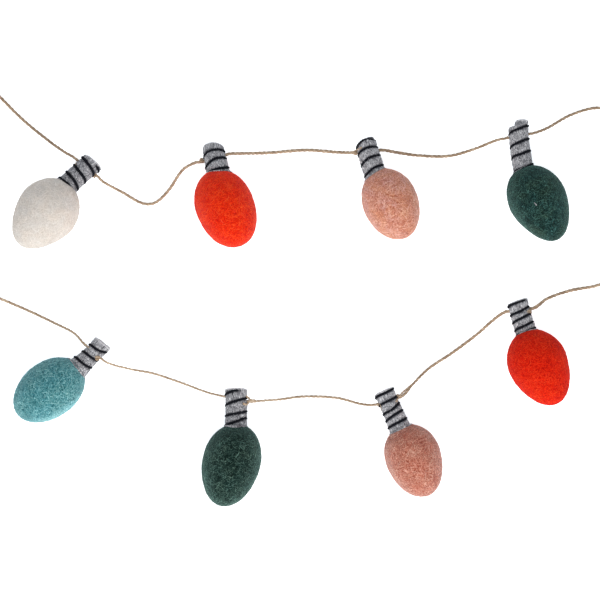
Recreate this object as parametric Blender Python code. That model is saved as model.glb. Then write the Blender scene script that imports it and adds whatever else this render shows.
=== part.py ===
"""Garland of eight felted wool bulbs on jute twine, lying in two rows on a flat surface.

Each bulb is an egg of felted wool with a neck, a roll of grey felt set on its wide end. Black
yarn is wound round the neck, and one length of twine runs through all the necks: along the
first row, round a turn at +X, and back along the second row.

Metres and degrees, +Z up. The surface is z = 0, and the origin is under the middle of the bulbs.
"""

import math
from collections import namedtuple

import bmesh
import bpy
from mathutils import Matrix, Vector

YARN_GAP = 0.00036  # between the yarn and the neck it is wound on
FLAT_DEPTH = 0.0007  # how much of a body the surface presses flat
BODY_SIDES = 20
TIP_RINGS = 6
NECK_END_RINGS = 5
BODY_CLEARANCE = 0.0012  # round a body, cut from its neck

NECK_SIDES = 16
NECK_RINGS = 4
NECK_ROOT = 0.013  # how far a neck's roll would reach into its body
NECK_ROOT_SPREAD = 0.0015  # how much wider its radius is at that depth
NECK_FOLLOW = 0.25  # how far a neck sets off along its body's axis, rather than straight
RIM_ROUNDING = 0.0009

YARN_RADIUS = 0.0008
YARN_STEPS = 11  # points in a turn
YARN_END_MARGIN = 0.0013  # yarn centre to the neck's end
YARN_BASE_MARGIN = 0.0045  # yarn centre to the neck's base

TWINE_RADIUS = 0.0010
TUNNEL_RADIUS = 0.00145
TUNNEL_OVERRUN = 0.004
LEAD = 0.0025  # straight twine outside each mouth of a tunnel
TWINE_STEP = 0.060  # most distance between two points of the twine
TWINE_TURN = 55.0  # most turn between them, in degrees
LIE = 0.00105  # twine centre where it lies on the surface
KNOT_SWELL = 2.3  # knot radius over twine radius
KNOT_LIE = 0.0024  # twine centre in a knot that lies on the surface
KNOT_HALF = 0.0028

# x, y: centre of the belly. lean: heading of the neck, clockwise from +Y. pitch: how steeply
# the axis falls towards the neck. tip_half, neck_half: belly to each end. tip_power: 2 is an
# ellipse, less is more pointed.
Body = namedtuple("Body", "felt x y lean pitch width tip_half tip_power neck_half")
BODIES = (
    Body("white", -0.2190, 0.0919, 40.0, 10.0, 0.0554, 0.0401, 1.56, 0.0306),
    Body("orange", -0.0603, 0.0969, -22.0, 11.0, 0.0521, 0.0402, 2.30, 0.0332),
    Body("pink", 0.0889, 0.0993, -22.8, 10.0, 0.0497, 0.0352, 1.90, 0.0318),
    Body("green", 0.2207, 0.1026, -27.4, 9.0, 0.0525, 0.0417, 1.55, 0.0313),
    Body("teal", -0.2169, -0.0686, 52.6, 8.0, 0.0501, 0.0375, 2.00, 0.0340),
    Body("green", -0.0536, -0.1325, 14.6, 8.0, 0.0520, 0.0423, 2.00, 0.0336),
    Body("rose", 0.1090, -0.1289, -20.4, 7.0, 0.0502, 0.0381, 1.92, 0.0293),
    Body("orange", 0.2213, -0.0456, -26.3, 9.0, 0.0538, 0.0402, 1.65, 0.0319),
)

# base, end: centres where the neck meets the body and where it is cut off. droop: how steeply
# it falls at its end.
Neck = namedtuple("Neck", "base_x base_y end_x end_y droop base_width waist_width end_width")
NECKS = (
    Neck(-0.2016, 0.1150, -0.1784, 0.1361, 12.0, 0.0198, 0.0190, 0.0202),
    Neck(-0.0659, 0.1260, -0.0709, 0.1489, 28.0, 0.0212, 0.0204, 0.0192),
    Neck(0.0748, 0.1259, 0.0664, 0.1536, 21.0, 0.0198, 0.0198, 0.0186),
    Neck(0.2090, 0.1291, 0.2043, 0.1699, 9.0, 0.0188, 0.0182, 0.0184),
    Neck(-0.1930, -0.0500, -0.1693, -0.0268, -6.0, 0.0212, 0.0166, 0.0180),
    Neck(-0.0503, -0.1026, -0.0504, -0.0684, 6.0, 0.0200, 0.0196, 0.0196),
    Neck(0.0981, -0.1057, 0.0826, -0.0703, 2.0, 0.0206, 0.0184, 0.0192),
    Neck(0.2116, -0.0194, 0.2029, 0.0106, 4.0, 0.0196, 0.0186, 0.0190),
)

# hand: 1 climbs like a right-hand screw, -1 like a left-hand one. tops: distances from the
# neck's end, along the neck, at which the yarn crosses the top of the neck.
Winding = namedtuple("Winding", "hand tops")
WINDINGS = (
    Winding(-1, (0.0076, 0.0174, 0.0259)),
    Winding(1, (0.0070, 0.0141, 0.0228)),
    Winding(1, (0.0025, 0.0096, 0.0184, 0.0273)),
    Winding(1, (0.0050, 0.0167, 0.0275, 0.0400)),
    Winding(1, (0.0080, 0.0165, 0.0255)),
    Winding(1, (0.0019, 0.0109, 0.0226, 0.0298)),
    Winding(1, (0.0025, 0.0102, 0.0183, 0.0237, 0.0313)),
    Winding(1, (0.0021, 0.0094, 0.0157, 0.0234, 0.0307)),
)

# Where the twine enters and leaves each neck, on its -X side and on its +X side.
Tunnel = namedtuple("Tunnel", "low_x low_y high_x high_y")
TUNNELS = (
    Tunnel(-0.1940, 0.1383, -0.1771, 0.1249),
    Tunnel(-0.0781, 0.1368, -0.0596, 0.1422),
    Tunnel(0.0584, 0.1447, 0.0787, 0.1464),
    Tunnel(0.1961, 0.1577, 0.2145, 0.1611),
    Tunnel(-0.1839, -0.0306, -0.1701, -0.0421),
    Tunnel(-0.0603, -0.0754, -0.0396, -0.0796),
    Tunnel(0.0789, -0.0817, 0.0966, -0.0762),
    Tunnel(0.1962, 0.0015, 0.2154, 0.0038),
)

# The order in which the twine passes the bulbs, and the way it goes through: 1 towards +X.
Pass = namedtuple("Pass", "bulb way")
PASSES = (
    Pass(0, 1), Pass(1, 1), Pass(2, 1), Pass(3, 1),
    Pass(7, -1), Pass(6, -1), Pass(5, -1), Pass(4, -1),
)  # fmt: skip

# The twine's free runs, before, between and after the passes. knots: distances of knots from
# the run's start, or from its end where negative. points: the route, as x, y and height.
Run = namedtuple("Run", "knots points")
RUNS = (
    Run((0.0150,), (
        (-0.2850, 0.2140, LIE), (-0.2733, 0.2046, KNOT_LIE), (-0.2430, 0.1745, LIE),
        (-0.2190, 0.1550, 0.0045), (-0.2040, 0.1445, 0.0140),
    )),
    Run((KNOT_HALF, -KNOT_HALF), (
        (-0.1700, 0.1182, 0.0150), (-0.1520, 0.1083, 0.0035), (-0.1355, 0.0992, LIE),
        (-0.1240, 0.0992, LIE), (-0.1115, 0.1103, 0.0015), (-0.0985, 0.1287, 0.0085),
        (-0.0870, 0.1353, 0.0140),
    )),
    Run((-KNOT_HALF,), (
        (-0.0450, 0.1436, 0.0110), (-0.0194, 0.1446, 0.0014), (0.0130, 0.1470, LIE),
        (0.0400, 0.1451, 0.0045),
    )),
    Run((-KNOT_HALF,), (
        (0.0940, 0.1449, 0.0065), (0.1150, 0.1421, LIE), (0.1420, 0.1417, LIE),
        (0.1640, 0.1475, 0.0055), (0.1850, 0.1556, 0.0145),
    )),
    Run((-KNOT_HALF,), (
        (0.2300, 0.1663, 0.0110), (0.2530, 0.1790, 0.0020), (0.2776, 0.1852, LIE),
        (0.3080, 0.1790, LIE), (0.3240, 0.1350, LIE), (0.3220, 0.0850, LIE),
        (0.3050, 0.0370, LIE), (0.2776, 0.0250, LIE), (0.2520, 0.0200, 0.0035),
        (0.2300, 0.0125, 0.0140),
    )),
    Run((-KNOT_HALF,), (
        (0.1830, -0.0055, 0.0140), (0.1669, -0.0200, 0.0045), (0.1450, -0.0365, LIE),
        (0.1240, -0.0505, 0.0014), (0.1090, -0.0648, 0.0110),
    )),
    Run((-KNOT_HALF,), (
        (0.0640, -0.0825, 0.0105), (0.0410, -0.0771, 0.0015), (0.0110, -0.0758, LIE),
        (-0.0110, -0.0784, 0.0030), (-0.0290, -0.0795, 0.0130),
    )),
    Run((-KNOT_HALF,), (
        (-0.0770, -0.0715, 0.0100), (-0.0980, -0.0640, 0.0014), (-0.1250, -0.0550, LIE),
        (-0.1472, -0.0506, 0.0055),
    )),
    Run((-0.0150,), (
        (-0.1960, -0.0185, 0.0120), (-0.2140, -0.0095, 0.0030), (-0.2400, 0.0027, LIE),
        (-0.2762, 0.0181, KNOT_LIE), (-0.2900, 0.0240, LIE),
    )),
)  # fmt: skip

# name: colour as sRGB from 0 to 255, roughness
FINISHES = {
    "felt_white": ((222, 213, 205), 0.95),
    "felt_orange": ((220, 46, 20), 0.95),
    "felt_pink": ((203, 136, 115), 0.95),
    "felt_rose": ((184, 119, 101), 0.95),
    "felt_green": ((41, 65, 60), 0.95),
    "felt_teal": ((90, 148, 153), 0.95),
    "felt_grey": ((150, 150, 156), 0.95),
    "yarn_black": ((25, 27, 35), 0.90),
    "jute": ((155, 125, 98), 0.85),
}


# ---- helpers ----


def material(name):
    """The named finish as a Principled material, made once."""
    if name in bpy.data.materials:
        return bpy.data.materials[name]
    srgb, roughness = FINISHES[name]
    linear = [((channel / 255 + 0.055) / 1.055) ** 2.4 for channel in srgb]
    made = bpy.data.materials.new(name)
    made.use_nodes = True
    shader = made.node_tree.nodes["Principled BSDF"]
    shader.inputs["Base Color"].default_value = (*linear, 1.0)
    shader.inputs["Roughness"].default_value = roughness
    shader.inputs["Metallic"].default_value = 0.0
    return made


def add_object(name, data, finish):
    """A linked object with its finish; without a finish it is a hidden cutter."""
    made = bpy.data.objects.new(name, data)
    bpy.context.scene.collection.objects.link(made)
    if finish:
        data.materials.append(material(finish))
    else:
        made.hide_render = True
        made.display_type = "WIRE"
    return made


def mesh_from(name, bm):
    """The finished mesh of bm, shaded smooth with its cut edges sharp."""
    bmesh.ops.recalc_face_normals(bm, faces=bm.faces)
    mesh = bpy.data.meshes.new(name)
    bm.to_mesh(mesh)
    bm.free()
    mesh.shade_smooth()
    mesh.set_sharp_from_angle(angle=math.radians(40))
    return mesh


def add_rings(bm, rings):
    """Skin between rings of points, with a fan or a face over each end."""
    rows = [[bm.verts.new(point) for point in ring] for ring in rings]
    for near, far in zip(rows, rows[1:]):
        count = max(len(near), len(far))
        for k in range(count):
            corners = [near[k % len(near)], near[(k + 1) % len(near)]]
            corners += [far[(k + 1) % len(far)], far[k % len(far)]]
            bm.faces.new(list(dict.fromkeys(corners)))
    for row in (rows[0], rows[-1]):
        if len(row) > 2:
            bm.faces.new(row)


def circle(centre, side, up, radius, count):
    """Points round centre, in the plane of the unit vectors side and up."""
    angles = [2 * math.pi * (k + 0.5) / count for k in range(count)]
    return [centre + radius * (math.cos(a) * side + math.sin(a) * up) for a in angles]


def subtract(target, cutter):
    """Cuts cutter out of target."""
    cut = target.modifiers.new(cutter.name, "BOOLEAN")
    cut.operation = "DIFFERENCE"
    cut.solver = "EXACT"
    cut.object = cutter


# ---- bulb bodies ----


def body_profile(body):
    """Stations from tip to neck end, as distance along the axis from the belly, and radius."""
    stations = []
    for k in range(TIP_RINGS + 1):
        along = math.cos(0.5 * math.pi * k / TIP_RINGS)
        radius = math.sqrt(max(0.0, 1 - along**body.tip_power))
        stations.append((-body.tip_half * along, 0.5 * body.width * radius))
    for k in range(1, NECK_END_RINGS + 1):
        angle = 0.5 * math.pi * k / NECK_END_RINGS
        stations.append((body.neck_half * math.sin(angle), 0.5 * body.width * math.cos(angle)))
    return stations


def body_turn(body):
    """Rotation that takes +Y, the egg's axis, to where its neck points."""
    heading = Matrix.Rotation(math.radians(-body.lean), 4, "Z")
    return heading @ Matrix.Rotation(math.radians(-body.pitch), 4, "X")


def body_rings(body, grow):
    """The egg's rings about its own Y axis, larger all round by grow."""
    rings = []
    for along, radius in body_profile(body):
        outward = math.copysign(grow, along) if radius < 1e-6 else 0.0
        centre = Vector((0, along + outward, 0))
        if radius < 1e-6:
            rings.append([centre])
        else:
            side, up = Vector((1, 0, 0)), Vector((0, 0, 1))
            rings.append(circle(centre, side, up, radius + grow, BODY_SIDES))
    return rings


def body_matrix(body):
    """Place of a body: turned, and low enough for the surface to press it flat."""
    turn = body_turn(body)
    lowest = min((turn @ point).z for ring in body_rings(body, 0.0) for point in ring)
    return Matrix.Translation((body.x, body.y, -lowest - FLAT_DEPTH)) @ turn


def place(made, matrix):
    made.location = matrix.to_translation()
    made.rotation_euler = matrix.to_euler()


def add_body(name, body):
    """The felted egg, cut flat where it rests."""
    matrix = body_matrix(body)
    bm = bmesh.new()
    add_rings(bm, body_rings(body, 0.0))
    floor_point = matrix.inverted() @ Vector((0, 0, 0))
    floor_normal = matrix.to_3x3().inverted() @ Vector((0, 0, -1))
    everything = bm.verts[:] + bm.edges[:] + bm.faces[:]
    bmesh.ops.bisect_plane(
        bm, geom=everything, plane_co=floor_point, plane_no=floor_normal, clear_outer=True
    )
    open_edges = [edge for edge in bm.edges if edge.is_boundary]
    bmesh.ops.contextual_create(bm, geom=open_edges)
    made = add_object(name, mesh_from(name, bm), f"felt_{body.felt}")
    place(made, matrix)


# ---- necks ----


class NeckLine:
    """Centre line of a neck: a curve that leaves the body along its axis and bends to its end."""

    def __init__(self, body, neck):
        matrix = body_matrix(body)
        top = matrix.to_translation()
        reach = math.hypot(neck.base_x - top.x, neck.base_y - top.y)
        pitch, droop = math.radians(body.pitch), math.radians(neck.droop)
        base = Vector((neck.base_x, neck.base_y, top.z - reach * math.tan(pitch)))
        run = Vector((neck.end_x - neck.base_x, neck.end_y - neck.base_y))
        fall = 0.5 * (math.tan(pitch) + math.tan(droop)) * run.length
        end = Vector((neck.end_x, neck.end_y, base.z - fall))
        lean = math.radians(body.lean)
        heading = run.normalized().lerp(Vector((math.sin(lean), math.cos(lean))), NECK_FOLLOW)
        away = Vector((heading.x, heading.y, -math.tan(pitch))).normalized()
        self.base, self.end = base, end
        self.bend = base + 0.5 * (end - base).length * away
        self.widths = (neck.base_width, neck.waist_width, neck.end_width)
        self.length = 0.5 * (
            (end - base).length + (self.bend - base).length + (end - self.bend).length
        )

    def at(self, share):
        """Centre, side, up and radius at a share of the way from base to end."""
        if share < 0:
            along = (self.bend - self.base).normalized()
            centre = self.base + share * self.length * along
        else:
            centre = (
                (1 - share) ** 2 * self.base
                + 2 * share * (1 - share) * self.bend
                + share**2 * self.end
            )
            along = (self.bend - self.base).lerp(self.end - self.bend, share).normalized()
        side = along.cross(Vector((0, 0, 1))).normalized()
        up = side.cross(along)
        return centre, side, up, self.radius(share)

    def radius(self, share):
        base, waist, end = (0.5 * width for width in self.widths)
        if share < 0:
            return base - share * self.length / NECK_ROOT * NECK_ROOT_SPREAD
        curve = base * (1 - share) * (1 - 2 * share) + end * share * (2 * share - 1)
        return curve + 4 * waist * share * (1 - share)


def tunnel_ends(line, tunnel):
    """The two mouths of a neck's tunnel, at the height of the neck's centre line there."""
    low, high = Vector((tunnel.low_x, tunnel.low_y)), Vector((tunnel.high_x, tunnel.high_y))
    middle = 0.5 * (low + high)
    run = (line.end - line.base).to_2d()
    share = (middle - line.base.to_2d()).dot(run) / run.length_squared
    height = line.at(share)[0].z
    return Vector((*low, height)), Vector((*high, height))


def add_neck(name, body, line, mouths):
    """The felt roll, hollowed to sit on its body and pierced for the twine."""
    rim = 1 - RIM_ROUNDING / line.length
    shares = [-NECK_ROOT / line.length] + [rim * k / NECK_RINGS for k in range(NECK_RINGS + 1)]
    rings = [circle(*line.at(share), NECK_SIDES) for share in shares]
    centre, side, up, radius = line.at(1.0)
    rings.append(circle(centre, side, up, radius - RIM_ROUNDING, NECK_SIDES))
    bm = bmesh.new()
    add_rings(bm, rings)
    made = add_object(name, mesh_from(name, bm), "felt_grey")

    bm = bmesh.new()
    add_rings(bm, body_rings(body, BODY_CLEARANCE))
    seat = add_object(f"{name}_seat", mesh_from(f"{name}_seat", bm), None)
    place(seat, body_matrix(body))
    subtract(made, seat)

    low, high = mouths
    way = (high - low).normalized()
    side = way.cross(Vector((0, 0, 1)))
    up = side.cross(way)
    bore_ends = (low - TUNNEL_OVERRUN * way, high + TUNNEL_OVERRUN * way)
    bm = bmesh.new()
    add_rings(bm, [circle(end, side, up, TUNNEL_RADIUS, 8) for end in bore_ends])
    bore = add_object(f"{name}_bore", mesh_from(f"{name}_bore", bm), None)
    subtract(made, bore)


# ---- yarn and twine ----


def add_tube(name, points, swells, radius, resolution, finish):
    """A cord through points, its radius times each point's swell."""
    curve = bpy.data.curves.new(name, "CURVE")
    curve.dimensions = "3D"
    curve.bevel_depth = radius
    curve.bevel_resolution = resolution
    curve.use_fill_caps = True
    spline = curve.splines.new("POLY")
    spline.points.add(len(points) - 1)
    for knot, point, swell in zip(spline.points, points, swells):
        knot.co = (*point, 1.0)
        knot.radius = swell
    spline.use_smooth = True
    return add_object(name, curve, finish)


def add_winding(name, line, winding):
    """Yarn wound round a neck, from half a turn before its first crossing to half after its last."""
    tops = winding.tops
    tops = (2 * tops[0] - tops[1], *tops, 2 * tops[-1] - tops[-2])
    outside = (YARN_RADIUS + YARN_GAP) / math.cos(math.pi / YARN_STEPS)
    widening = 1 / math.cos(math.pi / YARN_STEPS)
    points = []
    for k in range(len(winding.tops) * YARN_STEPS + 1):
        turns = 0.5 + k / YARN_STEPS
        whole = min(int(turns), len(tops) - 2)
        to_end = tops[whole] + (turns - whole) * (tops[whole + 1] - tops[whole])
        to_end = min(max(to_end, YARN_END_MARGIN), line.length - YARN_BASE_MARGIN)
        centre, side, up, radius = line.at(1 - to_end / line.length)
        angle = 2 * math.pi * turns
        reach = radius * widening + outside
        across = -winding.hand * math.sin(angle) * side
        points.append(centre + reach * (math.cos(angle) * up + across))
    add_tube(name, points, [1.0] * len(points), YARN_RADIUS, 0, "yarn_black")


def smooth_run(points, before, after):
    """A curve through points as close straight steps, leaving and arriving along its neighbours."""
    held = [before, *points, after]
    path = []
    for k in range(1, len(held) - 2):
        start, stop = held[k], held[k + 1]
        span = (stop - start).length
        leave = (stop - held[k - 1]).normalized() * span
        arrive = (held[k + 2] - start).normalized() * span
        for step in range(20):
            t = step / 20
            path.append(
                (2 * t**3 - 3 * t**2 + 1) * start + (t**3 - 2 * t**2 + t) * leave
                + (3 * t**2 - 2 * t**3) * stop + (t**3 - t**2) * arrive
            )  # fmt: skip
    path.append(points[-1])
    for point in path:
        point.z = max(point.z, LIE)
    return path


def read_at(path, distance):
    """The point of a stepped path at a distance from its start."""
    for start, stop in zip(path, path[1:]):
        step = (stop - start).length
        if distance <= step:
            return start.lerp(stop, distance / step)
        distance -= step
    return path[-1].copy()


def station(marks, effort):
    """Distance along a run at a given effort, between its marks of effort and distance."""
    for (effort_a, at_a), (effort_b, at_b) in zip(marks, marks[1:]):
        if effort <= effort_b:
            return at_a + (at_b - at_a) * (effort - effort_a) / (effort_b - effort_a)
    return marks[-1][1]


def run_points(path, knots):
    """Points and swells along a run: closer steps at a bend, and three points at each knot."""
    effort, length, marks = 0.0, 0.0, [(0.0, 0.0)]
    for start, stop, after in zip(path, path[1:], [*path[2:], path[-1]]):
        step = stop - start
        length += step.length
        effort += step.length / TWINE_STEP
        if after is not stop:
            effort += math.degrees(step.angle(after - stop)) / TWINE_TURN
        marks.append((effort, length))
    centres = [knot if knot > 0 else length + knot for knot in knots]
    steps = math.ceil(effort)
    stations = {station(marks, effort * k / steps): 1.0 for k in range(steps + 1)}
    for centre in centres:
        near = [at for at in stations if abs(at - centre) < 1.5 * KNOT_HALF]
        for at in near:
            if 0 < at < length:
                del stations[at]
        for offset, swell in ((-KNOT_HALF, 1.0), (0.0, KNOT_SWELL), (KNOT_HALF, 1.0)):
            at = min(max(centre + offset, 0.0), length)
            stations[at] = swell
    ordered = sorted(stations)
    return [read_at(path, at) for at in ordered], [stations[at] for at in ordered]


def add_twine(mouths):
    """The one twine, through every neck in turn."""
    doors = []
    for bulb, way in PASSES:
        entry, leave = mouths[bulb][::way]
        outward = (leave - entry).normalized()
        doors.append((entry - LEAD * outward, leave + LEAD * outward))
    points, swells = [], []
    for k, run in enumerate(RUNS):
        held = [Vector(point) for point in run.points]
        before, after = 2 * held[0] - held[1], 2 * held[-1] - held[-2]
        if k > 0:
            before = doors[k - 1][0]
            held.insert(0, doors[k - 1][1])
        if k < len(doors):
            after = doors[k][1]
            held.append(doors[k][0])
        more_points, more_swells = run_points(smooth_run(held, before, after), run.knots)
        points += more_points
        swells += more_swells
    add_tube("twine", points, swells, TWINE_RADIUS, 2, "jute")


for old in list(bpy.data.objects):
    bpy.data.objects.remove(old, do_unlink=True)

all_mouths = []
for number, (body, neck, winding, tunnel) in enumerate(
    zip(BODIES, NECKS, WINDINGS, TUNNELS), start=1
):
    line = NeckLine(body, neck)
    all_mouths.append(tunnel_ends(line, tunnel))
    add_body(f"bulb_{number}_body", body)
    add_neck(f"bulb_{number}_neck", body, line, all_mouths[-1])
    add_winding(f"bulb_{number}_thread", line, winding)
add_twine(all_mouths)
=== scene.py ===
"""Felted wool bulb garland, seen from straight above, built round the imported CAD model.

Metres, +Z up, in the frame of the CAD. The tables of bodies, necks, tunnels and the twine's route
are those of the CAD part. Everything random is seeded.
"""

import math
from collections import namedtuple

import bpy
import numpy as np
from mathutils import Matrix, Vector, noise


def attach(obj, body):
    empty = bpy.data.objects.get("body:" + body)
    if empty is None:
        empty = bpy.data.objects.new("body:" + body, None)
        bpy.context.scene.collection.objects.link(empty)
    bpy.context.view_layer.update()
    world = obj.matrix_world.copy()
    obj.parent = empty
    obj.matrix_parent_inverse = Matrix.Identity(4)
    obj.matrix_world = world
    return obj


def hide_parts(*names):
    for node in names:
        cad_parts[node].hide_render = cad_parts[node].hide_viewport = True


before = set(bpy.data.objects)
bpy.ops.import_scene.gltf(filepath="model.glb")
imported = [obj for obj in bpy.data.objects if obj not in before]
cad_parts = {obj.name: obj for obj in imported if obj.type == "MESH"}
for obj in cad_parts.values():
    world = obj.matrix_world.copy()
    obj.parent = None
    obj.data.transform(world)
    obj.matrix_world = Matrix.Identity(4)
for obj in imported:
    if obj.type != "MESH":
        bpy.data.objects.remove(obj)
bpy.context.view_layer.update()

MM = 0.001


def table(columns, *rows):
    """Rows with named columns; what a row leaves out at its end is 0."""
    row = namedtuple("Row", columns)
    return [row(*values, *[0.0] * (len(row._fields) - len(values))) for values in rows]


# ---- tables shared with the CAD part ----

BODIES = table(
    "felt x y lean pitch width tip_half tip_power neck_half",
    ("white", -0.2190, 0.0919, 40.0, 10.0, 0.0554, 0.0401, 1.56, 0.0306),
    ("orange", -0.0603, 0.0969, -22.0, 11.0, 0.0521, 0.0402, 2.30, 0.0332),
    ("pink", 0.0889, 0.0993, -22.8, 10.0, 0.0497, 0.0352, 1.90, 0.0318),
    ("green", 0.2207, 0.1026, -27.4, 9.0, 0.0525, 0.0417, 1.55, 0.0313),
    ("teal", -0.2169, -0.0686, 52.6, 8.0, 0.0501, 0.0375, 2.00, 0.0340),
    ("green", -0.0536, -0.1325, 14.6, 8.0, 0.0520, 0.0423, 2.00, 0.0336),
    ("rose", 0.1090, -0.1289, -20.4, 7.0, 0.0502, 0.0381, 1.92, 0.0293),
    ("orange", 0.2213, -0.0456, -26.3, 9.0, 0.0538, 0.0402, 1.65, 0.0319),
)

NECKS = table(
    "base_x base_y end_x end_y droop base_width waist_width end_width",
    (-0.2016, 0.1150, -0.1784, 0.1361, 12.0, 0.0198, 0.0190, 0.0202),
    (-0.0659, 0.1260, -0.0709, 0.1489, 28.0, 0.0212, 0.0204, 0.0192),
    (0.0748, 0.1259, 0.0664, 0.1536, 21.0, 0.0198, 0.0198, 0.0186),
    (0.2090, 0.1291, 0.2043, 0.1699, 9.0, 0.0188, 0.0182, 0.0184),
    (-0.1930, -0.0500, -0.1693, -0.0268, -6.0, 0.0212, 0.0166, 0.0180),
    (-0.0503, -0.1026, -0.0504, -0.0684, 6.0, 0.0200, 0.0196, 0.0196),
    (0.0981, -0.1057, 0.0826, -0.0703, 2.0, 0.0206, 0.0184, 0.0192),
    (0.2116, -0.0194, 0.2029, 0.0106, 4.0, 0.0196, 0.0186, 0.0190),
)

TUNNELS = table(
    "low_x low_y high_x high_y",
    (-0.1940, 0.1383, -0.1771, 0.1249),
    (-0.0781, 0.1368, -0.0596, 0.1422),
    (0.0584, 0.1447, 0.0787, 0.1464),
    (0.1961, 0.1577, 0.2145, 0.1611),
    (-0.1839, -0.0306, -0.1701, -0.0421),
    (-0.0603, -0.0754, -0.0396, -0.0796),
    (0.0789, -0.0817, 0.0966, -0.0762),
    (0.1962, 0.0015, 0.2154, 0.0038),
)

# The bulbs in the twine's order, and which way it goes through each neck: low to high or back.
PASSES = [(bulb, 1) for bulb in (0, 1, 2, 3)] + [(bulb, -1) for bulb in (7, 6, 5, 4)]

# Points of the twine's runs before, between and after the necks.
LIE = 0.00105  # twine centre where it lies on the surface
KNOT_LIE = 0.0024  # twine centre in a knot that lies on the surface
RUNS = (
    ((-0.2850, 0.2140, LIE), (-0.2733, 0.2046, KNOT_LIE), (-0.2430, 0.1745, LIE),
     (-0.2190, 0.1550, 0.0045), (-0.2040, 0.1445, 0.0140)),
    ((-0.1700, 0.1182, 0.0150), (-0.1520, 0.1083, 0.0035), (-0.1355, 0.0992, LIE),
     (-0.1240, 0.0992, LIE), (-0.1115, 0.1103, 0.0015), (-0.0985, 0.1287, 0.0085),
     (-0.0870, 0.1353, 0.0140)),
    ((-0.0450, 0.1436, 0.0110), (-0.0194, 0.1446, 0.0014), (0.0130, 0.1470, LIE),
     (0.0400, 0.1451, 0.0045)),
    ((0.0940, 0.1449, 0.0065), (0.1150, 0.1421, LIE), (0.1420, 0.1417, LIE),
     (0.1640, 0.1475, 0.0055), (0.1850, 0.1556, 0.0145)),
    ((0.2300, 0.1663, 0.0110), (0.2530, 0.1790, 0.0020), (0.2776, 0.1852, LIE),
     (0.3080, 0.1790, LIE), (0.3240, 0.1350, LIE), (0.3220, 0.0850, LIE), (0.3050, 0.0370, LIE),
     (0.2776, 0.0250, LIE), (0.2520, 0.0200, 0.0035), (0.2300, 0.0125, 0.0140)),
    ((0.1830, -0.0055, 0.0140), (0.1669, -0.0200, 0.0045), (0.1450, -0.0365, LIE),
     (0.1240, -0.0505, 0.0014), (0.1090, -0.0648, 0.0110)),
    ((0.0640, -0.0825, 0.0105), (0.0410, -0.0771, 0.0015), (0.0110, -0.0758, LIE),
     (-0.0110, -0.0784, 0.0030), (-0.0290, -0.0795, 0.0130)),
    ((-0.0770, -0.0715, 0.0100), (-0.0980, -0.0640, 0.0014), (-0.1250, -0.0550, LIE),
     (-0.1472, -0.0506, 0.0055)),
    ((-0.1960, -0.0185, 0.0120), (-0.2140, -0.0095, 0.0030), (-0.2400, 0.0027, LIE),
     (-0.2762, 0.0181, KNOT_LIE), (-0.2900, 0.0240, LIE)),
)

FLAT_DEPTH = 0.0007  # how much of a body the surface presses flat
NECK_ROOT = 0.013  # how far a neck's roll would reach into its body
NECK_ROOT_SPREAD = 0.0015  # how much wider its radius is at that depth
NECK_FOLLOW = 0.25  # how far a neck sets off along its body's axis, rather than straight
LEAD = 0.0025  # straight twine outside each mouth of a tunnel

# ---- tables of what only the eye sees ----

# Where the yarn crosses the top of each neck: distances from the neck's end, in millimetres and
# in plan, SIDE_LOOK left of the neck's line, on it, and SIDE_LOOK right of it. begin: how many
# turns before the first crossing the yarn comes out of the felt. thick: by the usual yarn.
SIDE_LOOK = 7.5 * MM
WINDINGS = table(
    "hand begin thick bands",
    (-1, 0.92, 1.25, ((4.4, 5.0, 6.4), (14.9, 15.3, 16.2), (24.0, 23.7, 25.6), (32.1, 30.2, 32.2))),
    (1, 0.50, 1.0, ((3.8, 2.2, 3.9), (14.3, 10.1, 11.2), (21.0, 19.9, 20.5))),
    (1, 0.30, 0.92, ((0.2, -3.2, 0.2), (7.0, 5.1, 6.7), (17.6, 14.2, 14.6), (28.4, 24.3, 24.1))),
    (1, 0.50, 1.0, ((6.7, 4.5, 2.5), (19.0, 16.3, 14.3), (28.5, 27.3, 25.0), (41.5, 40.1, 37.8))),
    (1, 0.40, 1.0, ((9.6, 8.6, 5.0), (18.4, 17.2, 15.7), (26.8, 26.3, 24.1))),
    (1, 0.06, 1.0, ((3.8, 1.3, 0.2), (13.2, 10.7, 8.8), (23.4, 22.1, 20.7), (31.8, 29.4, 26.2))),
    (1, 0.40, 1.0, ((2.3, 2.4, 2.0), (10.3, 10.0, 9.7), (19.0, 18.6, 15.9), (25.3, 23.5, 22.7),
                    (31.8, 31.2, 30.7))),
    (1, 0.18, 1.0, ((1.7, 1.2, 1.1), (10.3, 9.8, 8.0), (17.2, 15.8, 14.2), (24.2, 23.3, 21.7),
                    (29.0, 28.8, 27.4))),
)

# How each neck was rolled and cut, in millimetres, and in degrees right of the neck's top. seam:
# where the roll's free edge lies. slant: how far the cut leans out towards slant_side. middle: how
# far the roll's middle stands out of its end. pale: how much lighter its wool is, by the tones.
# step: how far short of the end the outer turn stops, leaving a core of core_radius that lies
# core_right of the middle.
ROLLS = table(
    "seam slant slant_side middle pale step core_radius core_right",
    (150.0, 1.5, 90.0, 0.5, -0.025),
    (-120.0, 1.6, -60.0, 0.5, 0.020),
    (130.0, 2.7, 74.0, 0.4, 0.030),
    (-14.0, 0.6, 60.0, 0.3, 0.015, 1.5, 6.1, 3.1),
    (-150.0, 1.2, 60.0, 0.0, 0.0),
    (160.0, 0.5, -90.0, 0.2, -0.035),
    (-130.0, 0.6, 0.0, 0.2, 0.025),
    (140.0, 0.8, 90.0, 0.2, 0.020),
)

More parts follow.
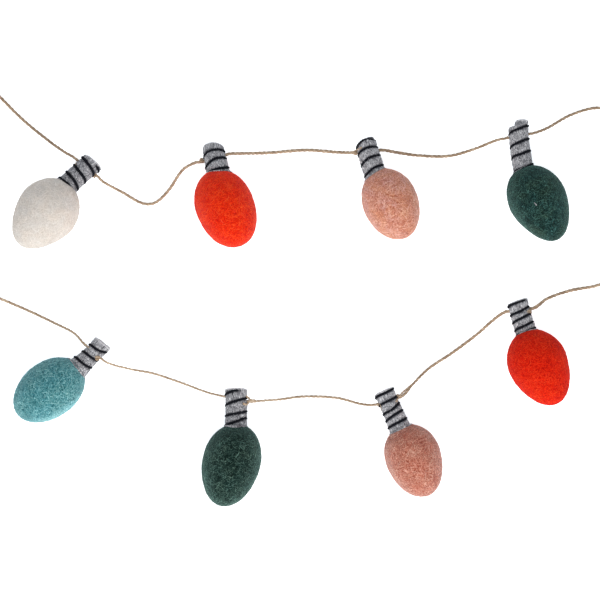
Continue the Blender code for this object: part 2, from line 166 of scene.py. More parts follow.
# The twine's knots: the bulb beside each, or 0, and its middle and half its size in millimetres.
KNOTS = table(
    "bulb x y size",
    (0, -273.3, 204.6, 2.3),
    (1, -177.3, 122.9, 1.5),
    (2, -81.2, 137.0, 2.0),
    (3, 57.5, 143.8, 1.6),
    (4, 194.5, 157.5, 1.3),
    (8, 214.5, 1.2, 1.7),
    (7, 95.5, -75.5, 1.9),
    (7, 78.1, -82.8, 1.3),
    (6, -39.6, -80.3, 1.8),
    (5, -174.2, -40.8, 2.1),
    (0, -276.2, 18.1, 2.3),
)

# How thick and how pale the twine is at its first end, at each neck in turn and at its last end.
FULLNESS = (1.45, 1.25, 1.45, 1.50, 1.28, 1.50, 1.20, 1.05, 1.02, 1.35)
PALENESS = (-0.12, 0.00, 0.04, -0.04, -0.06, -0.04, -0.06, 0.12, 0.14, -0.04)

# Ends and loops of the twine on or beside a neck, in millimetres: bulb, thickness, x, y points.
WISPS = table(
    "bulb thick points",
    (1, 0.8, ((-192.5, 138.3), (-193.8, 137.6), (-194.1, 135.5), (-194.0, 133.1))),
    (2, 1.3, ((-59.7, 142.1), (-56.6, 142.9), (-51.2, 143.6), (-43.9, 144.1))),
    (2, 1.2, ((-79.2, 138.4), (-80.6, 137.9), (-83.0, 136.4), (-85.3, 135.4))),
    (3, 1.3, ((52.7, 144.9), (55.6, 145.4), (59.1, 146.9), (63.5, 148.9))),
    (3, 1.3, ((53.6, 143.6), (56.4, 142.9), (58.4, 142.4), (59.5, 144.4))),
    (5, 1.3, ((-176.6, -39.8), (-174.9, -39.1), (-173.4, -39.6), (-172.5, -41.6))),
    (5, 1.2, ((-176.5, -39.1), (-175.4, -40.5), (-173.4, -41.1), (-170.8, -42.1))),
    (5, 1.4, ((-182.0, -31.3), (-183.6, -30.0), (-185.5, -28.3), (-187.5, -26.4))),
    (6, 2.1, ((-40.7, -75.1), (-39.0, -76.4), (-36.7, -78.4), (-32.3, -79.0))),
    (6, 2.0, ((-43.2, -80.6), (-42.5, -82.1), (-39.9, -82.1), (-38.5, -80.1), (-34.5, -79.3))),
    (7, 1.9, ((94.0, -80.1), (95.8, -76.8), (100.3, -71.5), (104.9, -67.7), (108.8, -64.4))),
    (7, 1.8, ((97.5, -77.1), (101.7, -72.8), (105.8, -68.5))),
    (7, 0.6, ((77.5, -82.1), (79.1, -81.7), (80.0, -83.7), (80.7, -88.2))),
    (8, 1.6, ((211.8, 0.6), (213.2, 2.2), (215.8, 3.5), (219.4, 5.9), (226.7, 10.8))),
    (8, 1.4, ((213.2, -0.1), (215.0, 1.7), (216.9, 4.1), (218.3, 5.0))),
    (8, 1.2, ((195.9, 2.3), (192.1, 1.5), (188.5, -0.7), (185.8, -2.9))),
)

# How far each neck's foot spreads over its body, in millimetres, on its left, top and right.
HEMS = (
    (0.3, 0.3, 0.3), (1.5, 1.5, 1.5), (0.5, 0.5, 0.5), (0.5, 0.5, 0.5),
    (3.0, 4.0, 0.8), (0.3, 5.0, 0.3), (0.6, 4.0, 2.6), (0.8, 1.2, 1.6),
)
HEM_UNDER = 0.3  # and on its underside

# A tuft of the grey wool caught on a body: x, y in millimetres, heading in degrees.
STRAY = table("bulb x y heading", (4, 217.7, 97.2, -30.0))[0]

# ---- camera ----

VIEW_CENTRE = Vector((0.0076, 0.0115, 0.0))
VIEW_WIDTH = 0.54
CAMERA_HEIGHT = 4.0
LENS_PLANE = 0.020  # height above the surface at which the picture is VIEW_WIDTH wide


def placed(name, data):
    """A new object in the scene."""
    made = bpy.data.objects.new(name, data)
    bpy.context.scene.collection.objects.link(made)
    return made


def add_camera():
    """A long lens straight above, with the picture's top towards +Y."""
    data = bpy.data.cameras.new("camera")
    data.sensor_width = 36.0
    data.lens = data.sensor_width * (CAMERA_HEIGHT - LENS_PLANE) / VIEW_WIDTH
    data.clip_start, data.clip_end = 0.1, 20.0
    camera = placed("camera", data)
    camera.location = VIEW_CENTRE + Vector((0, 0, CAMERA_HEIGHT))
    bpy.context.scene.camera = camera


# ---- shapes shared with the CAD part ----


def circle(sides):
    """Angles evenly round a circle."""
    return 2 * np.pi * np.arange(sides) / sides


def unit(vectors):
    """The same directions, one long."""
    return vectors / np.maximum(np.linalg.norm(vectors, axis=-1, keepdims=True), 1e-12)


def last_within(within, low, high, steps):
    """The furthest from low to high that is still within, where low is and high isn't."""
    for _ in range(steps):
        middle = 0.5 * (low + high)
        still = within(middle)
        low, high = np.where(still, middle, low), np.where(still, high, middle)
    return low


class Egg:
    """A felt body's surface about its own axis, which is +Y towards the neck."""

    def __init__(self, body):
        self.body = body
        heading = Matrix.Rotation(math.radians(-body.lean), 3, "Z")
        self.turn = np.array(heading @ Matrix.Rotation(math.radians(-body.pitch), 3, "X"))
        self.centre = np.array([body.x, body.y, 0.0])
        self.centre[2] = -self.grid(48, 64)[:, :, 2].min() - FLAT_DEPTH

    def radius(self, along):
        """Radius at each distance along the axis."""
        tip = np.clip(-along / self.body.tip_half, 0, 1) ** self.body.tip_power
        neck = np.clip(along / self.body.neck_half, 0, 1) ** 2
        return 0.5 * self.body.width * np.sqrt(np.maximum(1 - np.where(along < 0, tip, neck), 0))

    def grid(self, rings, sides):
        """Rings of points in the world, from tip to neck end, without the two poles."""
        angle = np.pi * np.arange(1, rings) / rings
        along = -np.cos(angle)
        along = along * np.where(along < 0, self.body.tip_half, self.body.neck_half)
        around, radius = circle(sides), self.radius(along)[:, None]
        across, up = radius * np.cos(around), radius * np.sin(around)
        return self.world(np.stack(np.broadcast_arrays(across, along[:, None], up), axis=-1))

    def world(self, local):
        return local @ self.turn.T + self.centre

    def local(self, world):
        return (world - self.centre) @ self.turn

    def level(self, local):
        """Zero on the surface and negative inside, and how that changes along x, y and z."""
        x, y, z = np.moveaxis(local, -1, 0)
        half, power = 0.5 * self.body.width, self.body.tip_power
        tip = np.maximum(-y / self.body.tip_half, 0)
        neck = np.maximum(y / self.body.neck_half, 0)
        level = (x**2 + z**2) / half**2 + tip**power + neck**2 - 1
        rise = 2 * neck / self.body.neck_half - power / self.body.tip_half * tip ** (power - 1)
        return level, np.stack([2 * x / half**2, rise, 2 * z / half**2], axis=-1)

    def onto(self, world):
        """The nearest points on the surface, and the normals there."""
        local = self.local(world)
        for _ in range(4):
            level, slope = self.level(local)
            local -= slope * (level / (slope**2).sum(-1))[..., None]
        return self.world(local), unit(self.level(local)[1]) @ self.turn.T


class NeckLine:
    """Centre line of a neck: a curve that leaves the body along its axis and bends to its end."""

    def __init__(self, body, neck, top):
        reach = math.hypot(neck.base_x - top[0], neck.base_y - top[1])
        pitch, droop = math.radians(body.pitch), math.radians(neck.droop)
        base = Vector((neck.base_x, neck.base_y, top[2] - reach * math.tan(pitch)))
        run = Vector((neck.end_x - neck.base_x, neck.end_y - neck.base_y))
        fall = 0.5 * (math.tan(pitch) + math.tan(droop)) * run.length
        end = Vector((neck.end_x, neck.end_y, base.z - fall))
        lean = math.radians(body.lean)
        heading = run.normalized().lerp(Vector((math.sin(lean), math.cos(lean))), NECK_FOLLOW)
        away = Vector((heading.x, heading.y, -math.tan(pitch))).normalized()
        self.base, self.end = base, end
        self.bend = base + 0.5 * (end - base).length * away
        self.widths = (neck.base_width, neck.waist_width, neck.end_width)
        self.length = 0.5 * ((end - base).length + (self.bend - base).length + (end - self.bend).length)
        self.plan = -run.normalized()

    def at(self, share):
        """Centre, side, up and radius at each share of the way from base to end."""
        share = np.asarray(share, float)
        inside = np.clip(share, 0, 1)[..., None]
        base, bend, end = (np.array(point) for point in (self.base, self.bend, self.end))
        centre = (1 - inside) ** 2 * base + 2 * inside * (1 - inside) * bend + inside**2 * end
        along = unit((1 - inside) * (bend - base) + inside * (end - bend))
        centre = centre + (share[..., None] - inside) * self.length * along
        side = unit(np.cross(along, [0, 0, 1]))
        return centre, side, np.cross(side, along), self.radius(share)

    def radius(self, share):
        base, waist, end = (0.5 * width for width in self.widths)
        share = np.minimum(share, 1.0)
        curve = base * (1 - share) * (1 - 2 * share) + end * share * (2 * share - 1)
        root = base - share * self.length / NECK_ROOT * NECK_ROOT_SPREAD
        return np.where(share < 0, root, curve + 4 * waist * share * (1 - share))

    def on(self, share, angle, lift=0.0, reach=1.0):
        """The point at an angle right of the neck's top, lift outside its surface."""
        centre, side, up, radius = self.at(share)
        out = np.cos(angle)[..., None] * up + np.sin(angle)[..., None] * side
        return centre + (reach * radius + lift)[..., None] * out

    def share_seen(self, distance, angle):
        """The share at which the surface lies that far from the end, as seen from above."""
        end, plan = np.array(self.end), np.array(self.plan)
        return last_within(
            lambda share: (self.on(share, angle) - end)[:2] @ plan > distance, -0.35, 1.35, 30
        )

    def meets(self, egg, angle, reach=1.0):
        """The share at which the line at each angle comes out of the body."""
        low, high = np.full(len(angle), -1.6 * NECK_ROOT / self.length), np.full(len(angle), 0.5)
        return last_within(
            lambda share: egg.level(egg.local(self.on(share, angle, 0.0, reach)))[0] < SEAT_LEVEL,
            low, high, 24,
        )


def tunnel_ends(line, tunnel):
    """The two mouths of a neck's tunnel, at the height of the neck's centre line there."""
    low, high = Vector((tunnel.low_x, tunnel.low_y)), Vector((tunnel.high_x, tunnel.high_y))
    middle = 0.5 * (low + high)
    run = (line.end - line.base).to_2d()
    share = (middle - line.base.to_2d()).dot(run) / run.length_squared
    height = line.at(share)[0][2]
    return Vector((*low, height)), Vector((*high, height))


def smooth_run(points, before, after, steps):
    """A curve through points, leaving and arriving along its neighbours."""
    held = [before, *points, after]
    path = []
    for k in range(1, len(held) - 2):
        start, stop = held[k], held[k + 1]
        span = (stop - start).length
        leave = (stop - held[k - 1]).normalized() * span
        arrive = (held[k + 2] - start).normalized() * span
        for step in range(steps):
            t = step / steps
            path.append(
                (2 * t**3 - 3 * t**2 + 1) * start + (t**3 - 2 * t**2 + t) * leave
                + (3 * t**2 - 2 * t**3) * stop + (t**3 - t**2) * arrive
            )
    path.append(points[-1].copy())
    return path


def twine_path(mouths):
    """The twine's centre line through every neck, and along it, how thick and pale the twine is."""
    doors = []
    for bulb, way in PASSES:
        entry, leave = mouths[bulb][::way]
        outward = (leave - entry).normalized()
        doors.append((entry - LEAD * outward, leave + LEAD * outward))
    path, runs = [], []
    for k, run in enumerate(RUNS):
        held = [Vector(point) for point in run]
        before, after = 2 * held[0] - held[1], 2 * held[-1] - held[-2]
        if k > 0:
            before = doors[k - 1][0]
            held.insert(0, doors[k - 1][1])
        if k < len(doors):
            after = doors[k][1]
            held.append(doors[k][0])
        more = smooth_run(held, before, after, 20)
        for point in more:
            point.z = max(point.z, LIE)
        path += more
        runs += list(np.linspace(k, k + 1, len(more)))
    path = np.array(path)
    distance = even_path(path, 0.001)[1]
    run = np.interp(distance, walked(path), runs)
    known = range(len(FULLNESS))
    return path, *((distance, np.interp(run, known, values)) for values in (FULLNESS, PALENESS))


# ---- mesh making ----


class Shape:
    """Closed forms gathered into one mesh, each point with a tone."""

    def __init__(self):
        self.points, self.quads, self.tris, self.tones, self.count = [], [], [], [], 0
        self.grain = None

    def add(self, points, quads, tris, tones):
        points = points.reshape(-1, 3)
        self.points.append(points)
        self.quads.append(quads.reshape(-1, 4) + self.count)
        self.tris.append(tris.reshape(-1, 3) + self.count)
        self.tones.append(np.broadcast_to(np.ravel(tones), len(points)))
        self.count += len(points)

    def build(self, name, finish, slot):
        """One shown piece of it, riding on the garland's only body."""
        faces = [*np.concatenate(self.quads).tolist(), *np.concatenate(self.tris).tolist()]
        mesh = bpy.data.meshes.new(name)
        mesh.from_pydata(np.concatenate(self.points).tolist(), [], faces)
        mesh.validate()
        mesh.shade_smooth()
        tone = mesh.attributes.new("tone", "FLOAT", "POINT")
        tone.data.foreach_set("value", np.concatenate(self.tones).astype(np.float32))
        if self.grain is not None:
            grain = mesh.attributes.new("grain", "FLOAT_VECTOR", "POINT")
            grain.data.foreach_set("vector", self.grain.astype(np.float32).ravel())
        mesh.materials.append(finishes[finish])
        made = placed(name, mesh)
        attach(made, "root")
        return made


def add_skin(shape, rows, first, last, tones=0.5):
    """A closed skin over rows of rings, with a fan to a point at each end."""
    count, sides = rows.shape[:2]
    index = 1 + np.arange(count * sides).reshape(count, sides)
    after = np.roll(index, -1, axis=1)
    quads = np.stack([index[:-1], after[:-1], after[1:], index[1:]], axis=-1)
    tris = [np.stack([after[0], index[0], np.zeros(sides, int)], axis=-1)]
    tris.append(np.stack([index[-1], after[-1], np.full(sides, 1 + count * sides)], axis=-1))
    points = np.concatenate([[first], rows.reshape(-1, 3), [last]])
    shape.add(points, quads, np.concatenate(tris), tones)


def add_strands(shape, centres, ups, radii, tones, sides=3, flat=1.0):
    """Thin closed tubes along centres[strand, step], each with its own tone, flat or round."""
    count, steps = centres.shape[:2]
    along = unit(np.gradient(centres, axis=1))
    side = unit(np.cross(along, ups))
    up = flat * np.cross(side, along)
    angle = circle(sides)
    out = np.cos(angle)[:, None] * side[:, :, None] + np.sin(angle)[:, None] * up[:, :, None]
    points = centres[:, :, None] + np.asarray(radii)[..., None, None] * out
    index = np.arange(count * steps * sides).reshape(count, steps, sides)
    after = np.roll(index, -1, axis=2)
    quads = np.stack([index[:, :-1], index[:, 1:], after[:, 1:], after[:, :-1]], axis=-1)
    caps = []
    for k in range(1, sides - 1):
        caps.append(np.stack([index[:, 0, 0], index[:, 0, k], index[:, 0, k + 1]], axis=-1))
        caps.append(np.stack([index[:, -1, 0], index[:, -1, k + 1], index[:, -1, k]], axis=-1))
    tones = np.broadcast_to(np.asarray(tones, float).reshape(count, -1, 1), (count, steps, sides))
    shape.add(points, quads, np.concatenate(caps), tones)


def bent(start, length, heading, curve, steps):
    """Centres of strands of that length, which leave along heading and bend by curve."""
    way = [t * heading + t * t * curve for t in np.linspace(0, 1, steps)]
    return np.stack([start + length * step for step in way], axis=1)


def wander(points, size, seed):
    """Smooth noise of about -1 to 1 at each point, in lumps of that size."""
    shift = Vector((3.7 * seed, 7.3 * seed, 13.1 * seed))
    flat = points.reshape(-1, 3) / size
    values = [noise.noise(Vector(point) + shift) for point in flat]
    return np.array(values).reshape(points.shape[:-1])


def lumps(points, seed, kinds):
    """How far felt swells or sinks at each point; kinds are heights and sizes of lumps."""
    return sum(high * wander(points, size, seed + k) for k, (high, size) in enumerate(kinds))


def walked(path):
    """Distance along the path at each of its points."""
    return np.concatenate([[0], np.cumsum(np.linalg.norm(np.diff(path, axis=0), axis=1))])


def even_path(path, step):
    """The same route with even steps of about that length, and the distance at each point."""
    distance = walked(path)
    count = max(int(round(distance[-1] / step)), 2)
    wanted = np.linspace(0, distance[-1], count + 1)
    return np.stack([np.interp(wanted, distance, path[:, k]) for k in range(3)], axis=1), wanted


def carried_up(path):
    """The path's direction at each point, and one square to it, carried along without twisting."""
    along = unit(np.gradient(path, axis=0))
    up = np.array([0.01, 0.02, 1.0])
    ups = np.empty_like(path)
    for k, direction in enumerate(along):
        up = unit(up - direction * up.dot(direction))
        ups[k] = up
    return along, ups


def add_plied(shape, path, plies, reach, thick, lay, tones, rng, swell=None, pale=None):
    """A cord of twisted plies. reach: ply centre from the path. lay: length of one twist.

    swell and pale are (distance, thicker by) and (distance, lighter by) along the path.
    """
    path, distance = even_path(path, lay / 10)
    along, ups = carried_up(path)
    across = np.cross(along, ups)
    uneven = 1 + 0.10 * wander(path, 0.004, rng.integers(1000))
    swell = np.ones(len(path)) if swell is None else np.interp(distance, *swell)
    for ply in range(plies):
        turn = 2 * np.pi * (distance / lay + ply / plies)
        out = np.cos(turn)[:, None] * ups + np.sin(turn)[:, None] * across
        centre = path + (reach * uneven * swell)[:, None] * out
        radii = thick * uneven * swell
        taper = np.minimum(distance, distance[-1] - distance) / thick
        radii = radii * np.sqrt(np.clip(taper + 0.15, 0, 1))
        tone = tones[ply] + (0 if pale is None else np.interp(distance, *pale)) + 0 * distance
        add_strands(shape, centre[None], out[None], radii[None], tone[None], 5)


# ---- materials ----


def linear(srgb, gain=1.0):
    """Linear colour of an sRGB one from 0 to 255, made lighter or darker by gain."""
    channels = (np.asarray(srgb, float) / 255 + 0.055) / 1.055
    return tuple(np.clip(channels**2.4 * gain, 0, 1))


finishes = {}  # each material made, by its name


def fill(tree, node, inputs):
    """Join a socket to each input of the node, or set its value."""
    for name, value in inputs.items():
        if isinstance(value, bpy.types.NodeSocket):
            tree.links.new(value, node.inputs[name])
        else:
            node.inputs[name].default_value = value


class Nodes:
    """A new material's node tree, with short ways to add and join its nodes."""

    def __init__(self, name, sheen, sheen_tint):
        finishes[name] = bpy.data.materials.new(name)
        finishes[name].use_nodes = True
        self.tree = finishes[name].node_tree
        self.shader = self.tree.nodes["Principled BSDF"]
        fill(self.tree, self.shader, {
            "Sheen Weight": sheen, "Sheen Roughness": 0.42, "Sheen Tint": (*sheen_tint, 1.0),
            "Specular IOR Level": 0.06,
        })
        self.place = self.add("TexCoord", output="Object")

    def add(self, kind, inputs=None, output=0, **settings):
        """One output of a new node."""
        node = self.tree.nodes.new("ShaderNode" + kind)
        for name, value in settings.items():
            setattr(node, name, value)
        fill(self.tree, node, inputs or {})
        return node.outputs[output]

    def attribute(self, name, output="Fac"):
        return self.add("Attribute", output=output, attribute_name=name)

    def noise(self, size, detail, rough=0.5, distortion=0.0, vector=None, seed=0.0):
        """Noise with features of that size, in metres."""
        inputs = {
            "Vector": vector or self.place, "W": seed, "Scale": 1 / size, "Detail": detail,
            "Roughness": rough, "Distortion": distortion,
        }
        return self.add("TexNoise", inputs, "Fac", noise_dimensions="4D")

    def lines(self, size, count, seed):
        """Curled lines, -1 to 1, that follow the levels of a noise."""
        levels = self.noise(size, 1.5, 0.5, 1.0, seed=seed)
        return self.math("SINE", self.math("MULTIPLY", levels, 2 * math.pi * count))

    def math(self, operation, *values):
        return self.add("Math", dict(enumerate(values)), operation=operation)

    def vector_math(self, operation, *values, output="Vector"):
        return self.add("VectorMath", dict(enumerate(values)), output, operation=operation)

    def sum(self, *parts):
        """The sum of parts, each a value and its share."""
        total = 0.0
        for value, share in parts:
            total = self.math("MULTIPLY_ADD", value, share, total)
        return total

    def scale(self, value, low, high, to_low, to_high):
        inputs = {"Value": value, "From Min": low, "From Max": high, "To Min": to_low, "To Max": to_high}
        return self.add("MapRange", inputs, "Result")

    def ramp(self, value, stops, colours, gain=1.0):
        """A colour from a value: sRGB colours at their stops, made lighter or darker by gain."""
        node = self.tree.nodes.new("ShaderNodeValToRGB")
        fill(self.tree, node, {"Fac": value})
        held = node.color_ramp.elements
        while len(held) < len(stops):
            held.new(0.5)
        for element, stop, colour in zip(held, stops, colours):
            element.position = stop
            element.color = (*linear(colour, gain), 1.0)
        return node.outputs["Color"]

    def drift(self, colour, amount, size, seed):
        """The colour, with its channels raised or lowered by up to amount, patch by patch."""
        patches = self.scale(self.noise(size, 2.0, 0.5, 0.5, seed=seed), 0.35, 0.65, -1, 1)
        part = self.vector_math("MULTIPLY", colour, amount)
        return self.vector_math("MULTIPLY_ADD", part, patches, colour)

    def rubbed(self, shade, wool, low, amount):
        """The shade, painted lighter by up to amount as the surface turns towards the key light's side:
        painted light.
        """
        if not wool.rubbed:
            return shade
        normal = self.add("TexCoord", output="Normal")
        dot = self.vector_math("DOT_PRODUCT", normal, PAINTED_LIGHT_SIDE, output="Value")
        return self.math("ADD", shade, self.scale(dot, low, 1.0, 0.0, amount * wool.rubbed))

    def finish(self, colour, roughness, height, distance):
        inputs = {"Height": height, "Strength": 1.0, "Distance": distance}
        bump = self.add("Bump", inputs, "Normal")
        looks = {"Base Color": colour, "Roughness": roughness, "Normal": bump}
        fill(self.tree, self.shader, looks)


# sheen: how strong it is at the edges. white: from 0, the wool's own hue, to 1, pure white.
# curl: how long its fibres are, by the longest. drift: how far red, green and blue each wander.
# The last column: how much paler the wool is painted where it faces the key light's side, a painted
# highlight, if at all.
WOOLS = table(
    "dark middle light sheen white curl drift rubbed",
    ((204, 195, 186), (226, 218, 210), (240, 233, 227), 0.02, 0.9, 1.0, (-0.02, 0.0, 0.02)),
    ((200, 18, 2), (245, 44, 8), (255, 96, 44), 0.20, 0.5, 0.8, (0.02, 0.15, 0.10)),
    ((160, 80, 56), (217, 143, 118), (252, 212, 192), 0.45, 0.9, 1.0, (-0.02, 0.02, 0.16)),
    ((4, 20, 18), (26, 52, 48), (86, 126, 115), 0.24, 0.4, 0.6, (-0.14, 0.03, 0.14)),
    ((28, 82, 90), (76, 143, 150), (168, 220, 223), 0.48, 0.5, 0.55, (0.10, 0.02, -0.02), 1.0),
    ((2, 16, 13), (12, 38, 34), (100, 130, 119), 0.32, 0.5, 0.7, (0.12, 0.02, -0.02), 0.35),
    ((138, 66, 48), (190, 116, 95), (238, 188, 168), 0.50, 0.9, 0.75, (-0.02, 0.06, 0.07)),
    ((175, 9, 2), (227, 34, 7), (240, 76, 38), 0.15, 0.2, 0.8, (0.02, 0.14, 0.10)),
)
# The side the key light comes from, towards which the wool is painted paler: painted light.
PAINTED_LIGHT_SIDE = (0.45, -0.89, 0.0)

GREYS = ((48, 48, 52), (136, 136, 141), (226, 226, 229))
BLACKS = ((6, 7, 10), (28, 30, 38))
JUTES = ((112, 93, 76), (164, 142, 120), (210, 192, 170))


def wool_nodes(name, wool):
    hue = np.array(linear(wool.middle))
    return Nodes(name, wool.sheen, (1 - wool.white) * hue / hue.max() + wool.white)


def felt(number, wool):
    """Curled wool fibres matted together, lighter and darker by turns."""
    made = wool_nodes(f"felt_{number}", wool)
    specks, patches = made.noise(0.0009, 3.0, 0.7, 1.0), made.noise(0.0130, 2.0, 0.5, 0.5)
    long_curls, short_curls = made.lines(0.0070, 10.0, number), made.lines(0.0040, 6.0, number + 10)
    mixed = made.sum((specks, 0.88), (patches, 0.12), (long_curls, 0.07), (short_curls, 0.06))
    # Painted light: the felt painted paler on its side towards the key light.
    shade = made.rubbed(mixed, wool, 0.7, 0.18)
    colour = made.ramp(shade, (0.36, 0.54, 0.72), wool[:3], 0.9)
    colour = made.drift(colour, wool.drift, 0.0140, number)
    made.finish(colour, made.scale(specks, 0.3, 0.7, 0.86, 1.0), mixed, 0.0008)


def fibre(number, wool):
    """Single curled strands on the felt: each has its own tone."""
    made = wool_nodes(f"fibre_{number}", wool)
    grain = made.noise(0.0011, 2.0)
    mixed = made.math("ADD", made.attribute("tone"), made.scale(grain, 0.25, 0.75, -0.28, 0.28))
    # Painted light: the strands painted paler on their side towards the key light.
    shade = made.rubbed(mixed, wool, 0.6, 0.5)
    colour = made.drift(made.ramp(shade, (0.0, 0.45, 1.0), wool[:3]), wool.drift, 0.0080, number)
    made.finish(colour, made.scale(grain, 0.2, 0.8, 0.86, 1.0), grain, 0.0001)


def grey_felt():
    """Marled grey felt, streaked along the roll."""
    made = Nodes("felt_grey", 0.15, (1, 1, 1))
    grain = made.attribute("grain", "Vector")
    drawn = made.add("Mapping", {"Vector": grain, "Scale": (1.0, 0.5, 1.0)})
    streaks = made.noise(0.0008, 4.0, 0.7, 0.8, drawn)
    blotches = made.noise(0.0030, 2.0, 0.5, 0.6, drawn, 3.0)
    # The tone brings each neck's paleness and painted light: a painted highlight on the cut end's rim
    # and painted shade in the yarn's groove.
    mixed = made.sum((streaks, 0.86), (blotches, 0.14), (made.attribute("tone"), 0.35))
    colour = made.ramp(mixed, (0.38, 0.50, 0.62), GREYS)
    made.finish(colour, made.scale(streaks, 0.3, 0.7, 0.86, 1.0), streaks, 0.0005)


def grey_fibre():
    """Single strands on the grey felt."""
    made = Nodes("fibre_grey", 0.15, (1, 1, 1))
    grain = made.noise(0.0012, 2.0)
    mixed = made.math("ADD", made.attribute("tone"), made.scale(grain, 0.2, 0.8, -0.1, 0.1))
    colour = made.ramp(mixed, (0.0, 0.5, 1.0), GREYS)
    made.finish(colour, made.scale(grain, 0.2, 0.8, 0.86, 1.0), grain, 0.0001)


def black_yarn():
    made = Nodes("yarn_black", 0.04, (0.7, 0.75, 0.9))
    fuzz = made.noise(0.0007, 3.0, 0.6, 1.0)
    colour = made.ramp(fuzz, (0.3, 0.7), BLACKS)
    made.finish(colour, made.scale(fuzz, 0.3, 0.7, 0.75, 1.0), fuzz, 0.0002)


def jute():
    made = Nodes("jute", 0.05, (1, 0.9, 0.8))
    patches, grain = made.noise(0.0060, 2.0, 0.5, 0.5), made.noise(0.0005, 3.0, 0.6, 0.5)
    mixed = made.math("ADD", made.attribute("tone"), made.scale(patches, 0.25, 0.75, -0.24, 0.24))
    mixed = made.math("ADD", mixed, made.scale(grain, 0.25, 0.75, -0.15, 0.15))
    colour = made.ramp(mixed, (0.0, 0.5, 1.0), JUTES)
    made.finish(colour, made.scale(grain, 0.2, 0.8, 0.7, 0.95), grain, 0.0002)


# ---- felt bodies ----

BODY_RINGS, BODY_SIDES = 72, 96
BODY_LUMPS = ((0.00045, 0.018), (0.00014, 0.006), (0.00009, 0.0022))
CURLS, CURL_STEPS = 1650, 6
FUZZ, FUZZ_STEPS = 420, 4


def spread(count):
    """Directions spread evenly all round."""
    k = np.arange(count) + 0.5
    level, turn = 1 - 2 * k / count, k * math.pi * (3 - math.sqrt(5))
    across = np.sqrt(1 - level**2)
    return np.stack([across * np.cos(turn), level, across * np.sin(turn)], axis=1)


def add_curls(shape, egg, curl, rng, seed):
    """Single curled strands that lie on the felt."""
    start = spread(CURLS) + rng.normal(0, 0.03, size=(CURLS, 3))
    half = 0.5 * egg.body.width
    start *= [half, 0.5 * (egg.body.tip_half + egg.body.neck_half), half]
    point, normal = egg.onto(egg.world(start))
    heading = unit(np.cross(normal, rng.normal(size=(CURLS, 3))))
    step = curl * rng.uniform(0.0013, 0.0028, size=(CURLS, 1))
    bend = rng.normal(0, 130 / curl, size=(CURLS, 1))
    wave = rng.normal(0, 120 / curl, size=(CURLS, 1))
    rise = rng.uniform(0.00003, 0.00020, size=CURLS)
    centres, ups = [], []
    for k in range(CURL_STEPS):
        height = rise * math.sin(math.pi * k / (CURL_STEPS - 1)) - 0.00008
        height = height + lumps(point, seed, BODY_LUMPS)
        centres.append(point + height[:, None] * normal)
        ups.append(normal)
        turn = (bend + wave * math.cos(2.2 * k)) * step
        heading = np.cos(turn) * heading + np.sin(turn) * np.cross(normal, heading)
        point, normal = egg.onto(point + step * heading)
        heading = unit(heading - normal * (heading * normal).sum(1, keepdims=True))
    centres = np.stack(centres, axis=1)
    centres[..., 2] = np.maximum(centres[..., 2], 0.0003)
    width = 0.00011 + 0.00024 * rng.beta(1.2, 2.2, size=(CURLS, 1))
    radii = width * (0.25 + 0.75 * np.sin(np.pi * np.linspace(0, 1, CURL_STEPS)) ** 0.6)
    tones = 0.15 + 0.80 * rng.beta(1.1, 1.3, CURLS)
    add_strands(shape, centres, np.stack(ups, axis=1), radii, tones, 3, 0.45)


def add_fuzz(shape, egg, rng, seed):
    """Short fine fibres that stand off the felt."""
    start = rng.normal(size=(FUZZ, 3)) * 0.03
    point, normal = egg.onto(egg.world(start))
    away = unit(normal + rng.normal(0, 0.7, size=(FUZZ, 3)))
    curve = rng.normal(0, 0.35, size=(FUZZ, 3))
    length = rng.uniform(0.0006, 0.0020, size=(FUZZ, 1))
    root = point + (lumps(point, seed, BODY_LUMPS) - 0.0001)[:, None] * normal
    centres = bent(root, length, away, curve, FUZZ_STEPS)
    centres[..., 2] = np.maximum(centres[..., 2], 0.0002)
    ups = np.cross(away, rng.normal(size=(FUZZ, 3)))[:, None]
    radii = 0.00005 * (1.1 - np.linspace(0, 1, FUZZ_STEPS))
    add_strands(shape, centres, ups, radii, rng.uniform(0.4, 1, FUZZ))


def add_body(number, egg, curl):
    """The felted egg and the strands on its surface."""
    rng = np.random.default_rng(100 + number)
    seed = 10 * number
    rows = egg.grid(BODY_RINGS, BODY_SIDES)
    rows = rows + lumps(rows, seed, BODY_LUMPS)[..., None] * egg.onto(rows)[1]
    rows[..., 2] = np.maximum(rows[..., 2], 0.0)
    poles = egg.world(np.array([[0.0, -egg.body.tip_half, 0.0], [0.0, egg.body.neck_half, 0.0]]))
    skin = Shape()
    add_skin(skin, rows, *poles)
    slot = f"felt_{egg.body.felt}"
    made = skin.build(f"bulb_{number}_felt", f"felt_{number}", slot)
    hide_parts(f"bulb_{number}_body")

    strands = Shape()
    add_curls(strands, egg, curl, rng, seed)
    add_fuzz(strands, egg, rng, seed)
    strands.build(f"bulb_{number}_strands", f"fibre_{number}", slot)


# ---- necks ----

NECK_SIDES, NECK_ROWS = 100, 46
ROLL_LUMPS = ((0.00022, 0.005), (0.00012, 0.0018))
SEAT_LEVEL = -0.03  # how far inside the body, by its level, a neck's foot lies
RIM = 0.0010  # how far the rim of the cut end is rounded
LAP = 0.0006  # how far the roll's free edge stands out
PROUD = 0.0030  # how far the core stands out where the outer turn stops short
STEP_BLEND = 0.0010  # how far that step slopes
SLANT_DEPTH = 0.012  # how far down the side a slanting cut still pulls the felt
GROOVE, GROOVE_WIDTH = 0.0011, 0.0013  # where the yarn presses the felt in
MOUTH_DIP, MOUTH_WIDTH = 0.0007, 0.0022  # where the twine does, round its tunnel's mouths
END_RINGS = (0.04, 0.11, 0.19, 0.27, 0.35, 0.43, 0.51, 0.59, 0.67, 0.75, 0.83, 0.90, 0.96)
ROLL_TURNS, CREASE, CREASE_WIDTH = 3.0, 0.0007, 0.13  # the spiral groove in the cut end
YARN_END_TURN = 0.45  # how far past its last crossing the yarn goes on


